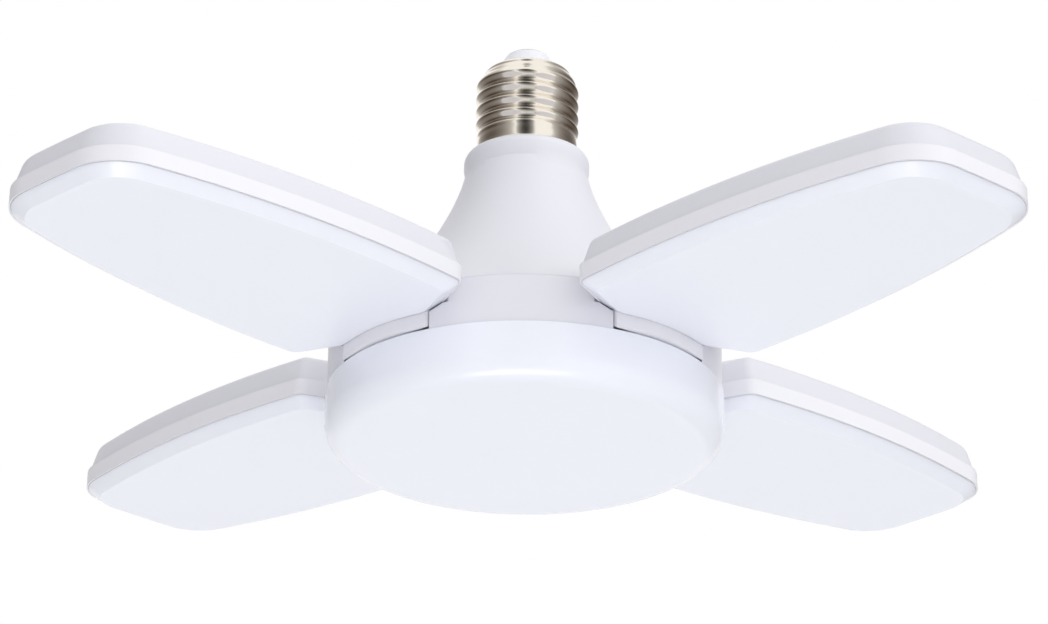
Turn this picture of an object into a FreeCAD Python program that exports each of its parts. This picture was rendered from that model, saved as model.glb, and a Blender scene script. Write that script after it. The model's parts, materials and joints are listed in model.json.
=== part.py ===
import FreeCAD, Part
import math
import os

# Foldable screw-in ceiling light: a screw cap, a bell-shaped housing, a round
# centre light and four blade lights that fold down on hinge pins.
# Millimetres, +Z up. The origin is the top face of the centre contact, where the
# light meets its lampholder, so the light hangs below Z = 0.

V = FreeCAD.Vector
UP = V(0, 0, 1)
ORIGIN = V(0, 0, 0)

# ---- clearances -------------------------------------------------------------
running_gap = 0.3        # between pieces that move past each other
slip_gap = 0.1           # between pieces that slide together and stay
pin_clearance = 0.03     # radial, hinge pin in its bores
seam_tolerance = 0.0001  # for closing the threaded surface
level_tolerance = 0.05   # for telling level edges and faces
overshoot = 1.0          # how far a cut runs past the surface it opens

# ---- screw cap --------------------------------------------------------------
contact_radius = 4.9
contact_thickness = 0.5
contact_stem_radius = 1.5
contact_stem_length = 6.0
insulator_top_radius = 5.5
insulator_neck_radius = 8.0
insulator_neck_z = -4.3
shoulder_radius = 11.2
shoulder_z = -6.4
thread_crest_radius = 13.2
thread_root_radius = 12.15
thread_pitch = 3.629
thread_start_z = -8.6
thread_end_z = -23.2
thread_runout = 2.4
shell_skirt_radius = 12.85
shell_wall = 0.4
shell_end_z = -28.4
shell_flare_radius = 13.4
shell_flare_height = 0.7
insulator_floor_z = -10.5
dome_bulge = 0.8

# ---- bell housing -----------------------------------------------------------
lip_radius = 13.5
collar_radius = 16.0
collar_z = -31.4
collar_step = 0.35
collar_step_z = -33.0
collar_ease = 1.6
collar_bulge = (0.7, 0.35)
waist_points = [(17.4, -40.4), (21.9, -50.3), (28.4, -60.6), (37.2, -71.2)]
bell_wall = 2.4
stub_wall = 2.0
stub_top_z = -12.5
rail_depth = 2.6
rail_width = 4.2
rail_top_z = -37.0
rail_bottom_z = -58.0
boss_radius = 3.2
boss_top_z = -50.3
boss_angles = (0, 90, 180, 270)

# ---- hub housing ------------------------------------------------------------
hub_radius = 49.5
boss_ring_inset = 18.5
boss_ring_radius = hub_radius - boss_ring_inset
hub_wall = 2.4
seam_z = -82.5
hub_bottom_z = -94.7
hub_floor_thickness = 3.5
hub_lip_height = 1.6
hub_lip_wall = 1.4
wire_hole_radius = 8.0
spigot_depth = 3.0
spigot_wall = 1.6
pocket_gap = 0.9
pocket_wall = 2.0
pocket_top_z = -70.0

# ---- centre light -----------------------------------------------------------
disc_overhang = 0.5
disc_radius = hub_radius + disc_overhang
disc_depth = 14.6
disc_edge_radius = 6.5
disc_top_round = 0.5
disc_wall = 1.6
disc_dome = 0.9
board_thickness = 1.6
disc_board_gap = 2.1
disc_board_radius = disc_radius - disc_wall - disc_board_gap
disc_led_rings = [(disc_board_radius * share, count)
                  for share, count in ((0.26, 8), (0.56, 16), (0.82, 24))]
disc_wire_hole = 4.0
disc_screw_angles = (0, 120, 240)
led_length = 3.5
led_width = 2.8
led_height = 0.8

# ---- blades -----------------------------------------------------------------
blade_azimuths = {"front_left": 225.0, "front_right": 315.0,
                  "rear_left": 135.0, "rear_right": 45.0}
blade_bottom_z = -88.0
blade_open_tilt = 2.0
root_inset = 5.0
root_reach = hub_radius - root_inset
root_half_width = 16.0
corner_run = 6.0
corner_reach = root_reach + corner_run
corner_half_width = 31.0
blade_length = 108.9
widest_share = 0.464
mid_reach = root_reach + widest_share * blade_length
mid_half_width = 31.2
tip_reach = root_reach + blade_length
tip_half_width = 21.0
tip_crown = 0.5
root_round = 3.0
corner_round = 4.0
tip_round = 15.0
least_round = 3.0
rim_height = 4.2
rim_wall = 2.2
ledge_width = 2.3
ledge_thickness = 1.2
cover_base_inset = 0.6
cover_top_inset = 2.9
cover_height = 7.6
cover_round = 3.2
cover_wall = 1.8
cover_boss_radius = 2.6
face_depth = 2.5
face_inset = 0.35
face_bevel = 3.6
face_wall = 1.3
face_lip_wall = 1.2
face_lip_height = 1.2
led_rows = 5
led_columns = 9
led_root_margin = 13.5
led_tip_margin = 15.4
led_first_reach = root_reach + led_root_margin
led_last_reach = tip_reach - led_tip_margin
led_side_margin = 2.0
led_row_pitch = 2 * (tip_half_width - led_side_margin) / (led_rows - 1)
led_column_pitch = (led_last_reach - led_first_reach) / (led_columns - 1)
blade_screw_reaches = (led_first_reach + 0.5 * led_column_pitch,
                       led_last_reach - 0.5 * led_column_pitch)
blade_screw_half_spacing = 1.5 * led_row_pitch

# ---- hinges -----------------------------------------------------------------
hinge_inset = 1.25
hinge_rise = 2.15
hinge_reach = hub_radius - hinge_inset
hinge_z = hub_bottom_z + hinge_rise
pin_radius = 0.8
lug_radius = 1.2
barrel_radius = 1.85
knuckle_shoulder = 1.0
knuckle_half_width = root_half_width - knuckle_shoulder
lug_half_width = 4.8
notch_gap = 0.35
pin_engagement = 3.2
pin_half_length = lug_half_width + pin_engagement

# ---- screws and driver ------------------------------------------------------
screw_radius = 1.25
screw_head_radius = 2.2
screw_head_height = 1.2
screw_socket_radius = 0.7
screw_socket_depth = 0.6
hub_screw_length = 9.0
board_screw_length = 4.0
blade_screw_length = 5.5
disc_screw_share = 0.39
disc_screw_ring = disc_screw_share * disc_board_radius
driver_width = 24.0
driver_thickness = 1.6
driver_top_z = -35.0
driver_gap = 0.15
capacitor_radius = 5.0
capacitor_length = 16.0
capacitor_z = -56.0
capacitor_round = 0.8
transformer_size = (13.0, 10.0, 12.0)
transformer_z = -70.5
inductor_radius = 4.0
inductor_length = 9.0
inductor_z = -84.0
fuse_radius = 1.7
fuse_length = 9.0
fuse_z = -42.5
film_size = (11.0, 5.0, 9.0)
film_z = -51.0
chip_sizes = [(5.0, 1.6, 4.0), (6.0, 1.6, 5.0), (4.0, 1.2, 3.0)]
chip_heights = [-61.5, -71.0, -79.0]
socket_size = (16.0, 6.0, 7.0)
socket_z = -86.5
lead_radius = 0.6
lead_bend_radius = 1.5
lead_spacing = driver_width / 3
lead_solder_length = 5.0
disc_lead_offset = 2.0


# ---- shared helpers ---------------------------------------------------------
def save(name, shape):
    """Write one sub-part to its STEP file."""
    shape.exportStep("parts/" + name + ".step")


def cylinder(radius, z_low, z_high, x=0.0, y=0.0):
    return Part.makeCylinder(radius, z_high - z_low, V(x, y, z_low), UP)


def block(x_low, x_high, y_low, y_high, z_low, z_high):
    return Part.makeBox(x_high - x_low, y_high - y_low, z_high - z_low, V(x_low, y_low, z_low))


def turned(points):
    """Solid of revolution about Z from a closed outline of (radius, z) points."""
    outline = [V(r, 0, z) for r, z in points]
    face = Part.Face(Part.makePolygon(outline + outline[:1]))
    return face.revolve(ORIGIN, UP, 360)


def turned_edges(edges):
    """Solid of revolution about Z from the edges of a closed outline."""
    face = Part.Face(Part.Wire(Part.__sortEdges__(edges)))
    return face.revolve(ORIGIN, UP, 360)


def line(a, b):
    return Part.LineSegment(V(a[0], 0, a[1]), V(b[0], 0, b[1])).toShape()


def arc(a, middle, b):
    points = [V(p[0], 0, p[1]) for p in (a, middle, b)]
    return Part.Arc(points[0], points[1], points[2]).toShape()


def spline(points):
    curve = Part.BSplineCurve()
    curve.interpolate([V(r, 0, z) for r, z in points])
    return curve.toShape()


def turned_about_z(shape, degrees):
    copy = shape.copy()
    copy.rotate(ORIGIN, UP, degrees)
    return copy


def joined(shapes):
    """Union of several solids as one clean solid."""
    result = shapes[0]
    for shape in shapes[1:]:
        result = result.fuse(shape)
    return result.removeSplitter()


def screw(x, y, z_seat, length, points_up=True):
    """Pan head screw whose head seats at z_seat and whose shank goes into the work."""
    way = 1.0 if points_up else -1.0
    shank = Part.makeCylinder(screw_radius, length, V(x, y, z_seat), UP * way)
    head = Part.makeCylinder(screw_head_radius, screw_head_height, V(x, y, z_seat), UP * -way)
    socket_seat = V(x, y, z_seat - way * (screw_head_height - screw_socket_depth))
    socket = Part.makeCylinder(screw_socket_radius, screw_socket_depth, socket_seat, UP * -way)
    return shank.fuse(head).cut(socket).removeSplitter()


# ---- screw cap --------------------------------------------------------------
def shell_profile(z):
    """Radius of the unthreaded cap shell at a height."""
    if z > shoulder_z:
        part = (insulator_neck_z - z) / (insulator_neck_z - shoulder_z)
        mouth = insulator_neck_radius + shell_wall
        return mouth + (shoulder_radius - mouth) * part + 4 * dome_bulge * part * (1 - part)
    thread_mean = (thread_crest_radius + thread_root_radius) / 2
    rows = [(shoulder_z, shoulder_radius), (thread_start_z, thread_mean),
            (thread_end_z, thread_mean), (thread_end_z - thread_runout, shell_skirt_radius),
            (shell_end_z + shell_flare_height, shell_skirt_radius),
            (shell_end_z, shell_flare_radius)]
    for (z_high, r_high), (z_low, r_low) in zip(rows, rows[1:]):
        if z >= z_low:
            part = (z_high - z) / (z_high - z_low)
            return r_high + (r_low - r_high) * part
    return shell_flare_radius


def thread_height(z):
    """Half height of the rolled thread, which fades in and out at its ends."""
    full = (thread_crest_radius - thread_root_radius) / 2
    entry = (thread_start_z + thread_runout / 2 - z) / thread_runout
    leave = (z - thread_end_z + thread_runout / 2) / thread_runout
    return full * max(0.0, min(1.0, entry, leave))


def threaded_core():
    """Solid with the rolled thread on its outside, from the shell's mouth to its skirt."""
    row_count = 10
    step_count = 36
    height = insulator_neck_z - shell_end_z
    rows = int(round(height / thread_pitch * row_count))
    grid = []
    for row in range(rows + 1):
        z = insulator_neck_z - height * row / rows
        ring = []
        for step in range(step_count + 1):
            angle = 2 * math.pi * step / step_count
            phase = 2 * math.pi * z / thread_pitch + angle
            radius = shell_profile(z) + thread_height(z) * math.cos(phase)
            ring.append(V(radius * math.cos(angle), radius * math.sin(angle), z))
        ring[-1] = ring[0]
        grid.append(ring)
    surface = Part.BSplineSurface()
    surface.interpolate(grid)
    side = surface.toShape()
    rims = [edge for edge in side.Edges if edge.BoundBox.ZLength < level_tolerance]
    caps = [Part.Face(Part.Wire([edge])) for edge in rims]
    core = Part.Solid(Part.Shell([side] + caps))
    core.fix(seam_tolerance, seam_tolerance, seam_tolerance)
    return core


def make_cap():
    """Centre contact, insulator and threaded shell."""
    plate = cylinder(contact_radius, -contact_thickness, 0)
    rim = [edge for edge in plate.Edges if abs(edge.BoundBox.ZMax) < level_tolerance]
    plate = plate.makeFillet(contact_thickness / 2, rim)
    stem_end = -contact_thickness - contact_stem_length
    contact = plate.fuse(cylinder(contact_stem_radius, stem_end, -contact_thickness))
    save("centre_contact", contact.removeSplitter())

    shell_inside = thread_root_radius - shell_wall
    cone_inside = shoulder_radius - shell_wall - slip_gap
    insulator = turned([
        (contact_stem_radius + slip_gap, -contact_thickness),
        (insulator_top_radius, -contact_thickness),
        (insulator_neck_radius - slip_gap, insulator_neck_z),
        (insulator_neck_radius - slip_gap, insulator_neck_z - shell_wall - slip_gap),
        (cone_inside, shoulder_z - shell_wall),
        (shell_inside - slip_gap, thread_start_z),
        (shell_inside - slip_gap, insulator_floor_z),
        (contact_stem_radius + slip_gap, insulator_floor_z)])
    save("cap_insulator", insulator)

    hollow = turned([
        (0, 0),
        (insulator_neck_radius, 0),
        (insulator_neck_radius, insulator_neck_z - shell_wall),
        (shoulder_radius - shell_wall, shoulder_z - shell_wall / 2),
        (shell_inside, thread_start_z),
        (shell_inside, shell_end_z - overshoot),
        (0, shell_end_z - overshoot)])
    save("screw_shell", threaded_core().cut(hollow))


# ---- bell housing -----------------------------------------------------------
def bell_outline():
    """Points of the bell's outer curve, from the step under the collar to the seam."""
    neck = (collar_radius - collar_step, collar_step_z - collar_ease)
    return [neck] + waist_points + [(hub_radius, seam_z)]


def bell_solid(inset):
    """The bell as a full solid, its side moved in by an inset."""
    points = [(r - inset, z) for r, z in bell_outline()]
    collar_low = (collar_radius - inset, collar_step_z)
    collar_high = (collar_radius - inset, collar_z)
    lip = (lip_radius - inset, shell_end_z)
    return turned_edges([
        line((0, shell_end_z), lip),
        arc(lip, ((lip[0] + collar_high[0]) / 2 + collar_bulge[0],
                  (lip[1] + collar_high[1]) / 2 + collar_bulge[1]), collar_high),
        line(collar_high, collar_low),
        line(collar_low, points[0]),
        spline(points),
        line(points[-1], (0, seam_z)),
        line((0, seam_z), (0, shell_end_z))])


def at_ring(radius, degrees):
    angle = math.radians(degrees)
    return radius * math.cos(angle), radius * math.sin(angle)


def make_bell():
    """Neck and bell in one moulding, with its screw bosses and driver rails."""
    outside = bell_solid(0)
    inside = bell_solid(bell_wall)
    bell = outside.cut(inside.cut(pockets(pocket_wall)))
    stub_radius = thread_root_radius - shell_wall - slip_gap
    stub = cylinder(stub_radius, shell_end_z - bell_wall, stub_top_z)
    bell = bell.fuse(cylinder(lip_radius - bell_wall, shell_end_z - bell_wall, shell_end_z))
    bell = bell.fuse(stub)
    bell = bell.cut(cylinder(stub_radius - stub_wall, shell_end_z - 2 * bell_wall, stub_top_z))
    rails = []
    for side in (-1, 1):
        near = side * (driver_width / 2 - rail_depth)
        far = side * collar_radius
        rail = block(min(near, far), max(near, far), -rail_width / 2, rail_width / 2,
                     rail_bottom_z, rail_top_z)
        rails.append(rail.common(outside))
    half_slot = driver_thickness / 2 + driver_gap
    slot = block(-driver_width / 2 - driver_gap, driver_width / 2 + driver_gap,
                 -half_slot, half_slot, rail_bottom_z - overshoot, driver_top_z)
    hub_inside = cylinder(hub_radius - hub_wall - hub_lip_wall, hub_bottom_z, seam_z)
    bosses = []
    for degrees in boss_angles:
        x, y = at_ring(boss_ring_radius, degrees)
        boss = cylinder(boss_radius, hub_bottom_z + hub_floor_thickness, boss_top_z, x, y)
        bosses.append(boss.common(outside.fuse(hub_inside)))
    bell = joined([bell] + rails + bosses)
    bell = bell.cut(slot).cut(pockets(0))
    for degrees in boss_angles:
        x, y = at_ring(boss_ring_radius, degrees)
        bell = bell.cut(cylinder(screw_radius, hub_bottom_z, hub_seat_z() + hub_screw_length, x, y))
    inner = hub_radius - hub_wall - slip_gap
    lip_low = seam_z - hub_lip_height
    lip_high = seam_z + bell_wall
    lip = cylinder(inner, lip_low, lip_high)
    lip = lip.cut(cylinder(inner - hub_lip_wall, lip_low, lip_high))
    lip = lip.common(outside.fuse(cylinder(inner, lip_low, seam_z)))
    lip = lip.cut(pockets(pocket_wall + slip_gap))
    save("bell_housing", joined([bell, lip]))


def hub_seat_z():
    """Height at which the hub screws' heads seat, sunk into the hub floor."""
    return hub_bottom_z + screw_head_height + slip_gap


# ---- blade frame of reference -----------------------------------------------
def blade_outline(inset=0.0):
    """Outline of one blade, pointing along +X, as an unrounded wire in its own plane."""
    def point(reach, half_width):
        return V(reach, half_width, 0)

    corners = [point(corner_reach, -corner_half_width), point(root_reach, -root_half_width),
               point(root_reach, root_half_width), point(corner_reach, corner_half_width)]
    edges = [Part.LineSegment(a, b).toShape() for a, b in zip(corners, corners[1:])]
    for side in (-1, 1):
        edges.append(Part.Arc(point(corner_reach, side * corner_half_width),
                              point(mid_reach, side * mid_half_width),
                              point(tip_reach, side * tip_half_width)).toShape())
    edges.append(Part.Arc(point(tip_reach, -tip_half_width), point(tip_reach + tip_crown, 0),
                          point(tip_reach, tip_half_width)).toShape())
    wire = Part.Wire(Part.__sortEdges__(edges))
    if inset:
        wire = wire.makeOffset2D(-inset, 2)
    return wire


def corner_edges(slab, reach, half_width):
    """The upright edges of a slab nearest to a corner and to its mirror image."""
    upright = [edge for edge in slab.Edges if edge.BoundBox.ZLength > level_tolerance]
    nearest = []
    for side in (-1, 1):
        corner = V(reach, side * half_width, slab.BoundBox.Center.z)
        nearest.append(min(upright, key=lambda edge: edge.CenterOfMass.distanceToPoint(corner)))
    return nearest


def blade_slab(inset, z_low, z_high):
    """Slab with the blade's outline and its rounded corners."""
    face = Part.Face(blade_outline(inset))
    slab = face.extrude(UP * (z_high - z_low))
    rounds = [(corner_reach, corner_half_width, corner_round),
              (tip_reach, tip_half_width, tip_round),
              (root_reach, root_half_width, root_round)]
    for reach, half_width, radius in rounds:
        corners = corner_edges(slab, reach, half_width)
        slab = slab.makeFillet(max(radius - inset, least_round), corners)
    slab.translate(V(0, 0, z_low))
    return slab


def place_blade(shape, azimuth):
    """Move a shape from the blade's own frame to its place on the light."""
    placed = shape.copy()
    placed.translate(V(0, 0, blade_bottom_z))
    placed.rotate(V(hinge_reach, 0, hinge_z), V(0, 1, 0), -blade_open_tilt)
    placed.rotate(ORIGIN, UP, azimuth)
    return placed


def pockets(grow):
    """The spaces that the four blade roots and knuckles take out of the hub and bell."""
    gap = notch_gap + grow
    shoulder_low = blade_bottom_z - face_depth - gap
    shoulder_high = blade_bottom_z - gap
    bevelled = tapered_slab(face_inset + face_bevel - gap, face_inset - gap,
                            shoulder_low, shoulder_high)
    root = Part.Face(blade_outline(-pocket_gap - grow)).extrude(UP * (pocket_top_z - shoulder_high))
    root.translate(V(0, 0, shoulder_high))
    root = root.fuse(bevelled)
    half = knuckle_half_width + gap
    notch = block(root_reach - pocket_gap - grow, hub_radius + overshoot, -half, half,
                  hub_bottom_z - overshoot, blade_bottom_z)
    one = root.fuse(notch)
    return joined([turned_about_z(one, degrees) for degrees in blade_azimuths.values()])


# ---- hub housing ------------------------------------------------------------
def hinge_lug():
    """Lug on the hub floor that carries one hinge pin, pointing along +X."""
    half = lug_half_width
    base = block(root_reach - pocket_gap - pocket_wall, hinge_reach, -half, half,
                 hinge_z, hinge_z + lug_radius)
    nose = Part.makeCylinder(lug_radius, 2 * half, V(hinge_reach, -half, hinge_z), V(0, 1, 0))
    return base.fuse(nose)


def make_hub():
    """Round hub with blade pockets, hinge lugs and the spigot of the centre light."""
    floor = hub_bottom_z + hub_floor_thickness
    outside = cylinder(hub_radius, hub_bottom_z, seam_z)
    inside = cylinder(hub_radius - hub_wall, floor, seam_z).cut(pockets(pocket_wall))
    hub = outside.cut(inside).cut(pockets(0))
    hub = hub.cut(cylinder(wire_hole_radius, hub_bottom_z, floor))
    spigot_radius = disc_radius - disc_wall - slip_gap
    spigot = cylinder(spigot_radius, hub_bottom_z - spigot_depth, hub_bottom_z)
    spigot = spigot.cut(cylinder(spigot_radius - spigot_wall,
                                 hub_bottom_z - spigot_depth, hub_bottom_z))
    lugs = [turned_about_z(hinge_lug(), degrees) for degrees in blade_azimuths.values()]
    hub = joined([hub, spigot] + lugs)
    for degrees in blade_azimuths.values():
        bore = Part.makeCylinder(pin_radius + pin_clearance, 2 * pin_half_length,
                                 V(hinge_reach, -pin_half_length, hinge_z), V(0, 1, 0))
        hub = hub.cut(turned_about_z(bore, degrees))
    for degrees in boss_angles:
        x, y = at_ring(boss_ring_radius, degrees)
        hub = hub.cut(cylinder(screw_radius + slip_gap, hub_bottom_z, floor, x, y))
        hub = hub.cut(cylinder(screw_head_radius + slip_gap, hub_bottom_z, hub_seat_z(), x, y))
    for degrees in disc_screw_angles:
        x, y = at_ring(disc_screw_ring, degrees)
        hub = hub.cut(cylinder(screw_radius, hub_bottom_z, floor, x, y))
    save("hub_housing", hub)
    screws = []
    for degrees in boss_angles:
        x, y = at_ring(boss_ring_radius, degrees)
        screws.append(screw(x, y, hub_seat_z(), hub_screw_length))
    save("hub_screws", Part.makeCompound(screws))


# ---- driver and leads -------------------------------------------------------
def on_board(size, x, z_middle, side=1):
    """Block that sits on one face of the driver board."""
    width, depth, height = size
    face = driver_thickness / 2
    low_y = face if side > 0 else -face - depth
    return block(x - width / 2, x + width / 2, low_y, low_y + depth,
                 z_middle - height / 2, z_middle + height / 2)


def lead(points):
    """Insulated wire along straight runs joined by tangent arcs."""
    places = [V(*point) for point in points]
    start = places[0]
    path = []
    for before, corner, after in zip(places, places[1:], places[2:]):
        back = (before - corner).normalize()
        onward = (after - corner).normalize()
        half_turn = (math.pi - back.getAngle(onward)) / 2
        tangent = lead_bend_radius * math.tan(half_turn)
        inward = (back + onward).normalize()
        middle = corner + inward * lead_bend_radius * (1 / math.cos(half_turn) - 1)
        path.append(Part.LineSegment(start, corner + back * tangent).toShape())
        path.append(Part.Arc(corner + back * tangent, middle, corner + onward * tangent).toShape())
        start = corner + onward * tangent
    path.append(Part.LineSegment(start, places[-1]).toShape())
    section = Part.Wire([Part.makeCircle(lead_radius, places[0], places[1] - places[0])])
    return Part.Wire(path).makePipeShell([section], True, False)


def make_driver():
    """Driver board on edge in the bell, with its components and leads."""
    half = driver_width / 2
    face = driver_thickness / 2
    floor = hub_bottom_z + hub_floor_thickness
    save("driver_board", block(-half, half, -face, face, floor, driver_top_z))
    can_y = face + capacitor_radius
    can = cylinder(capacitor_radius, capacitor_z - capacitor_length / 2,
                   capacitor_z + capacitor_length / 2, 0, can_y)
    rims = [edge for edge in can.Edges if edge.BoundBox.ZLength < level_tolerance]
    save("driver_capacitor", can.makeFillet(capacitor_round, rims))
    save("driver_transformer", on_board(transformer_size, 0, transformer_z))
    coil_y = face + inductor_radius
    coil = Part.makeCylinder(inductor_radius, inductor_length,
                             V(-inductor_length / 2, coil_y, inductor_z), V(1, 0, 0))
    save("driver_inductor", coil)
    fuse = Part.makeCylinder(fuse_radius, fuse_length,
                             V(-fuse_length / 2, face + fuse_radius, fuse_z), V(1, 0, 0))
    save("driver_fuse_resistor", fuse)
    save("driver_film_capacitor", on_board(film_size, 0, film_z, -1))
    chips = [on_board(size, 0, z, -1) for size, z in zip(chip_sizes, chip_heights)]
    save("driver_chips", Part.makeCompound(chips))
    save("blade_lead_socket", on_board(socket_size, 0, socket_z, -1))

    solder_y = face + lead_radius
    solder_z = driver_top_z - lead_solder_length
    bend_z = driver_top_z + lead_solder_length
    stem_end = -contact_thickness - contact_stem_length
    save("live_lead", lead([(0, 0, stem_end), (0, 0, bend_z),
                            (0, solder_y, driver_top_z + lead_radius),
                            (0, solder_y, solder_z + lead_solder_length / 2)]))
    shell_inside = thread_root_radius - shell_wall
    rim_z = (insulator_floor_z + stub_top_z) / 2
    save("neutral_lead", lead([(shell_inside - slip_gap, 0, rim_z), (lead_spacing, 0, rim_z),
                               (lead_spacing, 0, bend_z),
                               (lead_spacing, solder_y, driver_top_z + lead_radius),
                               (lead_spacing, solder_y, solder_z)]))
    pad_z = hub_bottom_z - board_thickness - lead_radius
    leads = []
    for side in (-1, 1):
        x = side * disc_lead_offset
        leads.append(lead([(x, solder_y, floor + lead_solder_length / 2 - lead_radius),
                           (x, solder_y, pad_z), (x + side * lead_solder_length, solder_y, pad_z)]))
    save("disc_leads", Part.makeCompound(leads))


# ---- centre light -----------------------------------------------------------
def make_disc():
    """Round board, its LEDs and screws, and the cup-shaped diffuser over them."""
    board_low = hub_bottom_z - board_thickness
    board = cylinder(disc_board_radius, board_low, hub_bottom_z)
    board = board.cut(cylinder(disc_wire_hole, board_low, hub_bottom_z))
    for degrees in disc_screw_angles:
        x, y = at_ring(disc_screw_ring, degrees)
        board = board.cut(cylinder(screw_radius + slip_gap, board_low, hub_bottom_z, x, y))
    save("disc_light_board", board)

    chips = []
    for ring_radius, count in disc_led_rings:
        for index in range(count):
            chip = block(ring_radius - led_width / 2, ring_radius + led_width / 2,
                         -led_length / 2, led_length / 2, board_low - led_height, board_low)
            chips.append(turned_about_z(chip, 360.0 * (index + 0.5) / count))
    save("disc_leds", Part.makeCompound(chips))

    screws = []
    for degrees in disc_screw_angles:
        x, y = at_ring(disc_screw_ring, degrees)
        screws.append(screw(x, y, board_low, board_screw_length))
    save("disc_board_screws", Part.makeCompound(screws))
    save("disc_diffuser", diffuser_cup(0).cut(diffuser_cup(disc_wall)))


def diffuser_cup(inset):
    """The centre diffuser as a full solid, its surface moved in by an inset."""
    radius = disc_radius - inset
    top = hub_bottom_z
    low = hub_bottom_z - disc_depth + inset
    edge = disc_edge_radius - inset
    slant = edge * (1 - math.sqrt(0.5))
    flat = radius - edge
    sphere = (flat ** 2 + disc_dome ** 2) / (2 * disc_dome)
    dome_rise = sphere - math.sqrt(sphere ** 2 - flat ** 2 / 4)
    top_round = disc_top_round if inset == 0 else 0.0
    outline = [line((0, top), (radius - top_round, top))]
    if top_round:
        ease = top_round * (1 - math.sqrt(0.5))
        outline.append(arc((radius - top_round, top), (radius - ease, top - ease),
                           (radius, top - top_round)))
    outline += [
        line((radius, top - top_round), (radius, low + edge)),
        arc((radius, low + edge), (radius - slant, low + slant), (flat, low)),
        arc((flat, low), (flat / 2, low - disc_dome + dome_rise), (0, low - disc_dome)),
        line((0, low - disc_dome), (0, top))]
    return turned_edges(outline)


# ---- blades -----------------------------------------------------------------
def knuckle():
    """Knuckle under the blade root, curved like the hub and hollowed for the hub's lug."""
    axis_z = hinge_z - blade_bottom_z
    inner, outer = hinge_reach - barrel_radius, hinge_reach + barrel_radius
    half = knuckle_half_width
    low = axis_z - barrel_radius
    bridge = block(root_reach, outer, -half, half, -face_depth, 0)
    wall = block(inner, outer, -half, half, axis_z, -face_depth)
    barrel = Part.makeCylinder(barrel_radius, 2 * half, V(hinge_reach, -half, axis_z), V(0, 1, 0))
    lug_space = lug_radius + running_gap
    slot_half = lug_half_width + running_gap
    slot = block(root_reach - overshoot, hinge_reach + running_gap, -slot_half, slot_half,
                 low - overshoot, axis_z + lug_space)
    socket = Part.makeCylinder(lug_space, 2 * slot_half, V(hinge_reach, -slot_half, axis_z),
                               V(0, 1, 0))
    return joined([bridge, wall, barrel]).common(cylinder(outer, low, 0)).cut(slot.fuse(socket))


def blade_rim():
    """Bright band round the blade, with an inner ledge and the hinge knuckle."""
    rim = blade_slab(0, 0, rim_height)
    rim = rim.cut(blade_slab(rim_wall, -overshoot, rim_height - ledge_thickness))
    rim = rim.cut(blade_slab(rim_wall + ledge_width, -overshoot, rim_height + overshoot))
    rim = rim.fuse(knuckle())
    axis_z = hinge_z - blade_bottom_z
    bore_half = pin_half_length + running_gap
    bore = Part.makeCylinder(pin_radius + pin_clearance, 2 * bore_half,
                             V(hinge_reach, -bore_half, axis_z), V(0, 1, 0))
    return rim.cut(bore).removeSplitter()


def tapered_slab(inset_low, inset_high, z_low, z_high):
    """Slab whose outline draws in from one inset to another on the way up."""
    low = outline_wire(inset_low, z_low)
    high = outline_wire(inset_high, z_high)
    return Part.makeLoft([low, high], True, True)


def outline_wire(inset, z):
    """Rounded outline of the blade at a height."""
    slab = blade_slab(inset, z, z + rim_height)
    bottom = [face for face in slab.Faces if face.BoundBox.ZLength < level_tolerance
              and abs(face.CenterOfMass.z - z) < level_tolerance]
    return bottom[0].OuterWire


def blade_cover():
    """Moulded back of the blade: a drafted tray with a rounded edge and screw bosses."""
    top = rim_height + cover_height
    outside = tapered_slab(cover_base_inset, cover_top_inset, rim_height, top)
    crown = [edge for edge in outside.Edges if edge.BoundBox.ZMin > top - level_tolerance]
    outside = outside.makeFillet(cover_round, crown)
    inside = tapered_slab(cover_base_inset + cover_wall, cover_top_inset + cover_wall,
                          rim_height, top - cover_wall)
    cover = outside.cut(inside)
    bosses = []
    for x, y in blade_screw_places():
        bosses.append(cylinder(cover_boss_radius, board_top_z(), top - cover_wall / 2, x, y))
    cover = joined([cover] + bosses)
    for x, y in blade_screw_places():
        cover = cover.cut(cylinder(screw_radius, board_top_z(), top - cover_wall, x, y))
    return cover


def board_top_z():
    """Top of a blade's board, which lies against the underside of the rim's ledge."""
    return rim_height - ledge_thickness


def blade_screw_places():
    return [(reach, side * blade_screw_half_spacing)
            for reach in blade_screw_reaches for side in (-1, 1)]


def blade_diffuser():
    """Opal tray over a blade's LEDs, bevelled all round and cut out for the knuckle."""
    face = tapered_slab(face_inset + face_bevel, face_inset, -face_depth, 0)
    lip_inset = rim_wall + slip_gap
    tray = face.fuse(blade_slab(lip_inset, 0, face_lip_height))
    hollow = blade_slab(lip_inset + face_lip_wall, -face_depth + face_wall, face_lip_height)
    half = knuckle_half_width + slip_gap
    reach = hinge_reach + barrel_radius + slip_gap
    keep = block(0, reach + face_lip_wall, -half - face_lip_wall, half + face_lip_wall,
                 -face_depth, face_lip_height)
    notch = block(0, reach, -half, half, -face_depth, face_lip_height)
    notch = notch.common(cylinder(reach, -face_depth, face_lip_height))
    return tray.cut(hollow.cut(keep)).cut(notch).removeSplitter()


def blade_board():
    low = board_top_z() - board_thickness
    board = blade_slab(rim_wall + slip_gap, low, board_top_z())
    for x, y in blade_screw_places():
        board = board.cut(cylinder(screw_radius + slip_gap, low, board_top_z(), x, y))
    return board


def blade_leds():
    """Grid of LED chips on the underside of a blade's board."""
    low = board_top_z() - board_thickness
    chips = []
    for column in range(led_columns):
        x = led_first_reach + column * led_column_pitch
        for row in range(led_rows):
            y = (row - (led_rows - 1) / 2) * led_row_pitch
            chips.append(block(x - led_width / 2, x + led_width / 2,
                               y - led_length / 2, y + led_length / 2, low - led_height, low))
    return Part.makeCompound(chips)


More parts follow.
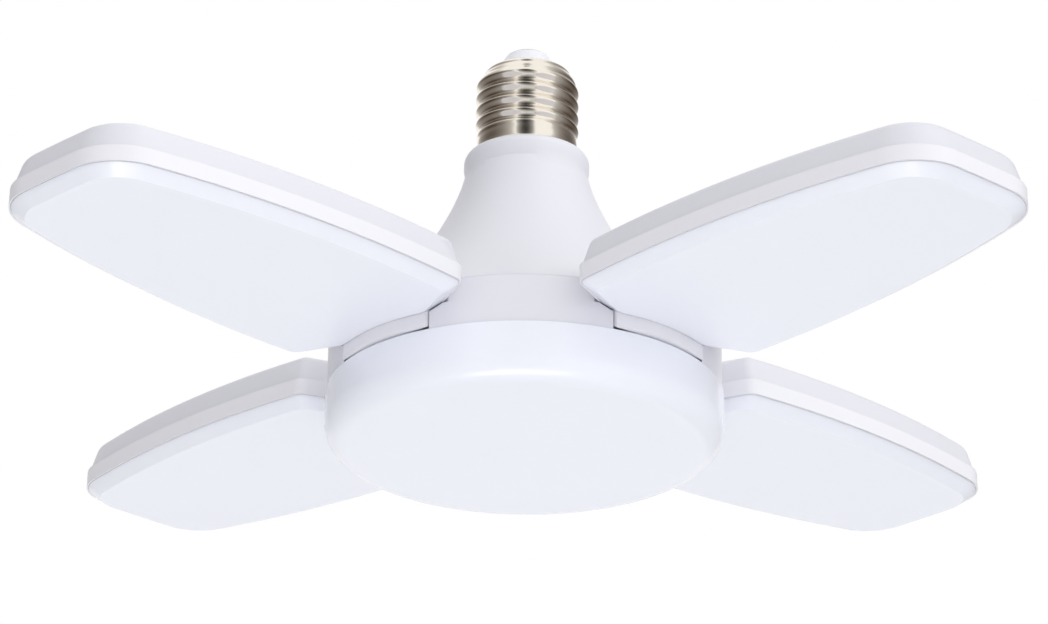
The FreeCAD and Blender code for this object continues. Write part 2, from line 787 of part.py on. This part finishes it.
def blade_screws():
    low = board_top_z() - board_thickness
    return Part.makeCompound([screw(x, y, low, blade_screw_length)
                              for x, y in blade_screw_places()])


def make_blades():
    """Four blades, each with its rim, cover, diffuser, board, LEDs, screws and pin."""
    pieces = {"back_cover": blade_cover(), "rim_frame": blade_rim(),
              "diffuser": blade_diffuser(), "light_board": blade_board(),
              "leds": blade_leds(), "screws": blade_screws()}
    pin = Part.makeCylinder(pin_radius, 2 * pin_half_length,
                            V(hinge_reach, -pin_half_length, hinge_z), V(0, 1, 0))
    for blade, azimuth in blade_azimuths.items():
        for piece, shape in pieces.items():
            save(blade + "_" + piece, place_blade(shape, azimuth))
        save(blade + "_hinge_pin", turned_about_z(pin, azimuth))


make_parts = [make_cap, make_bell, make_hub, make_driver, make_disc, make_blades]


def main():
    os.makedirs("parts", exist_ok=True)
    for make in make_parts:
        make()


main()
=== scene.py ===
import json
import math

import bpy
from mathutils import Matrix, Vector

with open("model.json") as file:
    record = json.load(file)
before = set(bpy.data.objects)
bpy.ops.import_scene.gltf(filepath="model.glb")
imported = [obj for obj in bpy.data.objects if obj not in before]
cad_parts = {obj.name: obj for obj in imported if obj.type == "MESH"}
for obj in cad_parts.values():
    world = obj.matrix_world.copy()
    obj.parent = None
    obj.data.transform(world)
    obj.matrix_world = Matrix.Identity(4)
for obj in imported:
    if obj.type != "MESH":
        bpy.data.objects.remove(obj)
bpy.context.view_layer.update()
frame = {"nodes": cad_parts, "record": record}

# Foldable screw-in ceiling light, dressed for rendering. Metres, +Z up.
MM = 0.001
NODES = frame["nodes"]

# ---- camera: the photograph's viewing angle --------------------------------------------
PHOTO_SIZE = (1048, 624)                    # pixels
CAMERA_AZIMUTH = math.radians(1.294)
CAMERA_ELEVATION = math.radians(-22.356)    # below the light
CAMERA_ROLL = math.radians(-0.505)
CAMERA_DISTANCE = 1.252
CAMERA_AIM = Vector((0, 0, -0.0883))
CAMERA_CLIP = (0.05, 60.0)
FOCAL_PIXELS = 4984.0
AIM_PIXEL = (524.8, 373.6)                  # where the aim lies in the photograph
SENSOR = 36.0                               # millimetres, as Blender's lens is

# ---- lights: azimuths and elevations in degrees ----------------------------------------
AMBIENT = 0.27
# wide glows on the studio's walls: direction and strength
GLOWS = (((8, 5), 1.18), ((90, 10), 1.4), ((-90, 10), 0.2), ((180, 15), 0.5))
LAMPS = {
    "top": {"azimuth": 10, "elevation": 70, "distance": 1.8, "size": 1.4, "power": 4.5},
    "fill": {"azimuth": -10, "elevation": -70, "distance": 1.8, "size": 2.0, "power": 9.2},
}

# ---- cards that only reflections show: azimuths, elevations and colour -----------------
CARD_DISTANCE = 0.9
CARD_FADE = 0.4                             # the lower, the narrower the faded border
CARD_STEPS = 16
CARD_CENTRE = Vector((0, 0, -0.016))
CARDS = {
    "card_centre": ((-24, 20), (-60, 88), (0.01, 0.008, 0.006)),
    "card_left": ((-150, -26), (-62, 66), (0.05, 0.030, 0.016)),
    "card_right": ((60, 165), (-62, 66), (0.05, 0.030, 0.016)),
    "card_below": ((-62, 48), (-75, -64), (9.0, 9.0, 9.0)),
}

# ---- floor -----------------------------------------------------------------------------
FLOOR_Z = -2.5
FLOOR_HALF_WIDTH = 25.0
FLOOR_TONES = ((0.90, 0.90, 0.90), (0.92, 0.92, 0.92))
FLOOR_NOISE = 1.5
FLOOR_ROUGHNESS = 0.9
FLOOR_LIFT = 0.26       # glow where it is seen or mirrored, which brings it near white

# ---- grain of the materials: noise scales and the relief they give ---------------------
CLOUD_SCALE = 45        # cloudiness of plastics
GLOSS_SCALE = 140       # uneven gloss of plastics
TARNISH_SCALE = 260     # stains on metals
TARNISH_DETAIL = 5
PLASTIC_BUMP = 0.10
METAL_BUMP = 0.05
METAL_BUMP_DEPTH = 0.05 * MM
EDGE_SAMPLES = 6
PLASTIC_IOR = 1.42

# ---- smoothing of the CAD meshes -------------------------------------------------------
WELD_DISTANCE = 0.001 * MM
CRISP_ANGLE = math.radians(28)


# ---- node helpers ----------------------------------------------------------------------
def new_material(name):
    """Material with one Principled shader, its tree and that shader."""
    material = bpy.data.materials.new(name)
    material.use_nodes = True
    tree = material.node_tree
    return material, tree, tree.nodes["Principled BSDF"]


def set_values(shader, **values):
    """Constants on the shader's own sockets; an underscore stands for a space."""
    for name, value in values.items():
        shader.inputs[name.replace("_", " ")].default_value = value


def noise(tree, scale, detail=3.0):
    """Noise over the object's own coordinates."""
    place = tree.nodes.new("ShaderNodeTexCoord")
    texture = tree.nodes.new("ShaderNodeTexNoise")
    texture.inputs["Scale"].default_value = scale
    texture.inputs["Detail"].default_value = detail
    tree.links.new(place.outputs["Object"], texture.inputs["Vector"])
    return texture.outputs["Fac"]


def between(tree, factor, low, high):
    """Colour that runs from low to high over the middle half of a factor's range."""
    ramp = tree.nodes.new("ShaderNodeValToRGB")
    ramp.color_ramp.elements[0].position = 0.25
    ramp.color_ramp.elements[1].position = 0.75
    ramp.color_ramp.elements[0].color = (*low, 1)
    ramp.color_ramp.elements[1].color = (*high, 1)
    tree.links.new(factor, ramp.inputs["Fac"])
    return ramp.outputs["Color"]


def spread(tree, factor, low, high):
    """Number that runs from low to high with a factor."""
    reach = tree.nodes.new("ShaderNodeMapRange")
    reach.inputs["To Min"].default_value = low
    reach.inputs["To Max"].default_value = high
    tree.links.new(factor, reach.inputs["Value"])
    return reach.outputs["Result"]


def math_node(tree, operation, first, second):
    """One calculation on two inputs, each a socket or a number."""
    node = tree.nodes.new("ShaderNodeMath")
    node.operation = operation
    for socket, value in zip(node.inputs, (first, second)):
        if isinstance(value, (int, float)):
            socket.default_value = value
        else:
            tree.links.new(value, socket)
    return node.outputs[0]


def bump(tree, shader, height, strength, distance, edge=0.0):
    """Fine relief, on edges that are softened by a radius where one is given."""
    node = tree.nodes.new("ShaderNodeBump")
    if edge:
        soft = tree.nodes.new("ShaderNodeBevel")
        soft.samples = EDGE_SAMPLES
        soft.inputs["Radius"].default_value = edge
        tree.links.new(soft.outputs["Normal"], node.inputs["Normal"])
    node.inputs["Strength"].default_value = strength
    node.inputs["Distance"].default_value = distance
    tree.links.new(height, node.inputs["Height"])
    tree.links.new(node.outputs["Normal"], shader.inputs["Normal"])


# ---- materials -------------------------------------------------------------------------
def moulded(name, colour, vary=0.002, roughness=(0.36, 0.40), grain=2200, depth=0.02 * MM,
            edge=0.3 * MM):
    """Moulded plastic: slight cloudiness, uneven gloss and a fine grain."""
    material, tree, shader = new_material(name)
    low = tuple(c * (1 - vary) for c in colour)
    high = tuple(min(1.0, c * (1 + vary)) for c in colour)
    tree.links.new(between(tree, noise(tree, CLOUD_SCALE), low, high),
                   shader.inputs["Base Color"])
    tree.links.new(spread(tree, noise(tree, GLOSS_SCALE), *roughness),
                   shader.inputs["Roughness"])
    bump(tree, shader, noise(tree, grain), PLASTIC_BUMP, depth, edge)
    set_values(shader, IOR=PLASTIC_IOR)
    return material


def opal(name, colour):
    """Opal diffuser: a milky plastic that scatters light just under a smooth skin."""
    material = moulded(name, colour, vary=0.001, roughness=(0.25, 0.28), grain=900,
                       depth=0.004 * MM)
    shader = material.node_tree.nodes["Principled BSDF"]
    set_values(shader, Subsurface_Weight=0.25, Subsurface_Scale=3 * MM,
               Coat_Weight=0.25, Coat_Roughness=0.08)
    shader.inputs["Subsurface Radius"].default_value = (1.0, 1.0, 1.0)
    return material


def metal(name, colour, roughness, vary=0.08, grain=600):
    """Plated or ground metal with a faint tarnish."""
    material, tree, shader = new_material(name)
    low = tuple(c * (1 - vary) for c in colour)
    tree.links.new(between(tree, noise(tree, TARNISH_SCALE, TARNISH_DETAIL), low, colour),
                   shader.inputs["Base Color"])
    tree.links.new(spread(tree, noise(tree, grain), *roughness), shader.inputs["Roughness"])
    bump(tree, shader, noise(tree, grain), METAL_BUMP, METAL_BUMP_DEPTH)
    set_values(shader, Metallic=1.0)
    return material


FINISHES = {
    "contact_metal": metal("contact_metal", (0.62, 0.55, 0.44), (0.22, 0.34)),
    "cap_insulator": moulded("cap_insulator", (0.80, 0.81, 0.86), roughness=(0.2, 0.3)),
    "cap_metal": metal("cap_metal", (0.92, 0.86, 0.77), (0.12, 0.17), vary=0.05),
    "housing_white": moulded("housing_white", (0.73, 0.73, 0.79)),
    "rim_white": moulded("rim_white", (0.80, 0.80, 0.85), roughness=(0.33, 0.36),
                         depth=0.004 * MM),
    "opal_diffuser": opal("opal_diffuser", (0.85, 0.87, 0.965)),
    "screw_steel": metal("screw_steel", (0.62, 0.62, 0.63), (0.25, 0.4)),
    "pin_steel": metal("pin_steel", (0.60, 0.60, 0.61), (0.15, 0.25)),
    "circuit_board": moulded("circuit_board", (0.03, 0.16, 0.06), 0.2, (0.3, 0.5), 500),
    "light_board": moulded("light_board", (0.85, 0.85, 0.85), 0.02, (0.3, 0.4), 700),
    "led_yellow": moulded("led_yellow", (0.80, 0.62, 0.10), 0.1, (0.2, 0.3), 1500),
    "capacitor_sleeve": moulded("capacitor_sleeve", (0.02, 0.02, 0.04), 0.2, (0.3, 0.4)),
    "dark_moulding": moulded("dark_moulding", (0.02, 0.02, 0.02), 0.3, (0.45, 0.6), 1200),
    "resistor_body": moulded("resistor_body", (0.08, 0.20, 0.15), 0.2, (0.4, 0.5)),
    "film_yellow": moulded("film_yellow", (0.55, 0.30, 0.02), 0.1, (0.2, 0.3)),
    "socket_white": moulded("socket_white", (0.75, 0.73, 0.66)),
    "lead_red": moulded("lead_red", (0.40, 0.01, 0.01), 0.1, (0.35, 0.45)),
    "lead_white": moulded("lead_white", (0.78, 0.78, 0.78)),
}


# ---- CAD nodes -------------------------------------------------------------------------
def dress(piece, finish):
    """Smooth shading with crisp edges, and the node's own finish."""
    for slot in piece.material_slots:
        slot.material = finish
    faces = piece.data.polygons
    faces.foreach_set("use_smooth", [True] * len(faces))
    weld = piece.modifiers.new("weld", "WELD")
    weld.merge_threshold = WELD_DISTANCE
    split = piece.modifiers.new("edges", "EDGE_SPLIT")
    split.split_angle = CRISP_ANGLE


for part in frame["record"]["subparts"]:
    dress(NODES[part["node"]], FINISHES[part["material_slot"]])


# ---- camera ----------------------------------------------------------------------------
def make_camera():
    """Camera below the light, looking up at it as in the photograph."""
    back = Vector((math.sin(CAMERA_AZIMUTH) * math.cos(CAMERA_ELEVATION),
                   -math.cos(CAMERA_AZIMUTH) * math.cos(CAMERA_ELEVATION),
                   math.sin(CAMERA_ELEVATION)))
    level = Vector((math.cos(CAMERA_AZIMUTH), math.sin(CAMERA_AZIMUTH), 0))
    upright = back.cross(level)
    right = level * math.cos(CAMERA_ROLL) - upright * math.sin(CAMERA_ROLL)
    up = level * math.sin(CAMERA_ROLL) + upright * math.cos(CAMERA_ROLL)
    width, height = PHOTO_SIZE
    data = bpy.data.cameras.new("camera")
    data.sensor_width = SENSOR
    data.lens = FOCAL_PIXELS * SENSOR / width
    data.shift_x = (width / 2 - AIM_PIXEL[0]) / width
    data.shift_y = (AIM_PIXEL[1] - height / 2) / width
    data.clip_start, data.clip_end = CAMERA_CLIP
    camera = bpy.data.objects.new("camera", data)
    place = Matrix((right, up, back)).transposed().to_4x4()
    place.translation = CAMERA_AIM + back * CAMERA_DISTANCE
    camera.matrix_world = place
    bpy.context.scene.collection.objects.link(camera)
    bpy.context.scene.camera = camera


# ---- studio ----------------------------------------------------------------------------
def direction(azimuth, elevation):
    """Unit vector; azimuth 0 is towards the front of the light and 90 to its right."""
    a, e = math.radians(azimuth), math.radians(elevation)
    return Vector((math.sin(a) * math.cos(e), -math.cos(a) * math.cos(e), math.sin(e)))


def seen_directly(tree):
    """1 for rays that show the background itself: camera, glossy and transmission rays."""
    path = tree.nodes.new("ShaderNodeLightPath")
    result = path.outputs["Is Camera Ray"]
    for name in ("Is Glossy Ray", "Is Transmission Ray"):
        result = math_node(tree, "MAXIMUM", result, path.outputs[name])
    return result


def glow(tree, way, strength):
    """Strength of the studio wall that lies in one direction, fading to nothing at its sides."""
    place = tree.nodes.new("ShaderNodeTexCoord")
    dot = tree.nodes.new("ShaderNodeVectorMath")
    dot.operation = "DOT_PRODUCT"
    dot.inputs[1].default_value = way
    tree.links.new(place.outputs["Generated"], dot.inputs[0])
    facing = math_node(tree, "MAXIMUM", dot.outputs["Value"], 0.0)
    squared = math_node(tree, "MULTIPLY", facing, facing)
    return math_node(tree, "MULTIPLY", squared, strength)


def make_world():
    """Soft light from the glows and the ambient, and plain white where it is seen."""
    world = bpy.data.worlds.new("studio")
    world.use_nodes = True
    tree = world.node_tree
    tree.nodes.clear()
    ambient = tree.nodes.new("ShaderNodeBackground")
    ambient.inputs["Color"].default_value = (1, 1, 1, 1)
    light = AMBIENT
    for way, strength in GLOWS:
        light = math_node(tree, "ADD", glow(tree, direction(*way), strength), light)
    tree.links.new(light, ambient.inputs["Strength"])
    white = tree.nodes.new("ShaderNodeBackground")
    white.inputs["Color"].default_value = (1, 1, 1, 1)
    mix = tree.nodes.new("ShaderNodeMixShader")
    out = tree.nodes.new("ShaderNodeOutputWorld")
    tree.links.new(seen_directly(tree), mix.inputs["Fac"])
    tree.links.new(ambient.outputs[0], mix.inputs[1])
    tree.links.new(white.outputs[0], mix.inputs[2])
    tree.links.new(mix.outputs[0], out.inputs["Surface"])
    bpy.context.scene.world = world


def softbox(name, azimuth, elevation, distance, size, power):
    """Round area lamp that faces the light and that neither camera nor gloss shows."""
    light = bpy.data.lights.new(name, "AREA")
    light.shape = "DISK"
    light.size = size
    light.energy = power
    lamp = bpy.data.objects.new(name, light)
    way = direction(azimuth, elevation)
    lamp.location = CAMERA_AIM + way * distance
    lamp.rotation_mode = "QUATERNION"
    lamp.rotation_quaternion = way.to_track_quat("Z", "Y")
    lamp.visible_camera = False
    lamp.visible_glossy = False
    bpy.context.scene.collection.objects.link(lamp)


def card_mesh(name, azimuths, elevations, colour):
    """Piece of a sphere whose colour attribute fades to white at its borders."""
    corners = []
    tones = []
    for row in range(CARD_STEPS + 1):
        elevation = elevations[0] + (elevations[1] - elevations[0]) * row / CARD_STEPS
        for column in range(CARD_STEPS + 1):
            azimuth = azimuths[0] + (azimuths[1] - azimuths[0]) * column / CARD_STEPS
            corners.append(CARD_CENTRE + direction(azimuth, elevation) * CARD_DISTANCE)
            across = math.sin(math.pi * column / CARD_STEPS)
            upward = math.sin(math.pi * row / CARD_STEPS)
            depth = (across * upward) ** CARD_FADE
            tones.append([1 + (c - 1) * depth for c in colour] + [1])
    faces = []
    for row in range(CARD_STEPS):
        for column in range(CARD_STEPS):
            first = row * (CARD_STEPS + 1) + column
            above = first + CARD_STEPS + 1
            faces.append((first, first + 1, above + 1, above))
    mesh = bpy.data.meshes.new(name)
    mesh.from_pydata(corners, [], faces)
    tone = mesh.color_attributes.new("tone", "FLOAT_COLOR", "POINT")
    for index, value in enumerate(tones):
        tone.data[index].color = value
    return mesh


def card(name, azimuths, elevations, colour):
    """Curved studio card, seen only in what reflects it."""
    mesh = card_mesh(name, azimuths, elevations, colour)
    material = bpy.data.materials.new(name)
    material.use_nodes = True
    tree = material.node_tree
    tree.nodes.clear()
    shade = tree.nodes.new("ShaderNodeEmission")
    read = tree.nodes.new("ShaderNodeVertexColor")
    read.layer_name = "tone"
    tree.links.new(read.outputs["Color"], shade.inputs["Color"])
    out = tree.nodes.new("ShaderNodeOutputMaterial")
    tree.links.new(shade.outputs[0], out.inputs["Surface"])
    mesh.materials.append(material)
    piece = bpy.data.objects.new(name, mesh)
    bpy.context.scene.collection.objects.link(piece)
    piece.visible_camera = False
    piece.visible_diffuse = False
    piece.visible_shadow = False
    piece.visible_transmission = False
    piece.visible_volume_scatter = False


def make_floor():
    """Plain pale floor well below the hanging light."""
    mesh = bpy.data.meshes.new("floor")
    half = FLOOR_HALF_WIDTH
    corners = [(-half, -half, FLOOR_Z), (half, -half, FLOOR_Z),
               (half, half, FLOOR_Z), (-half, half, FLOOR_Z)]
    mesh.from_pydata(corners, [], [(0, 1, 2, 3)])
    material, tree, shader = new_material("floor")
    tree.links.new(between(tree, noise(tree, FLOOR_NOISE), *FLOOR_TONES),
                   shader.inputs["Base Color"])
    set_values(shader, Roughness=FLOOR_ROUGHNESS)
    shader.inputs["Emission Color"].default_value = (1, 1, 1, 1)
    tree.links.new(math_node(tree, "MULTIPLY", seen_directly(tree), FLOOR_LIFT),
                   shader.inputs["Emission Strength"])
    mesh.materials.append(material)
    floor = bpy.data.objects.new("floor", mesh)
    bpy.context.scene.collection.objects.link(floor)


make_camera()
make_world()
make_floor()
for card_name, card_facts in CARDS.items():
    card(card_name, *card_facts)
for lamp_name, lamp_facts in LAMPS.items():
    softbox(lamp_name, **lamp_facts)
bpy.context.scene.view_settings.view_transform = "Standard"
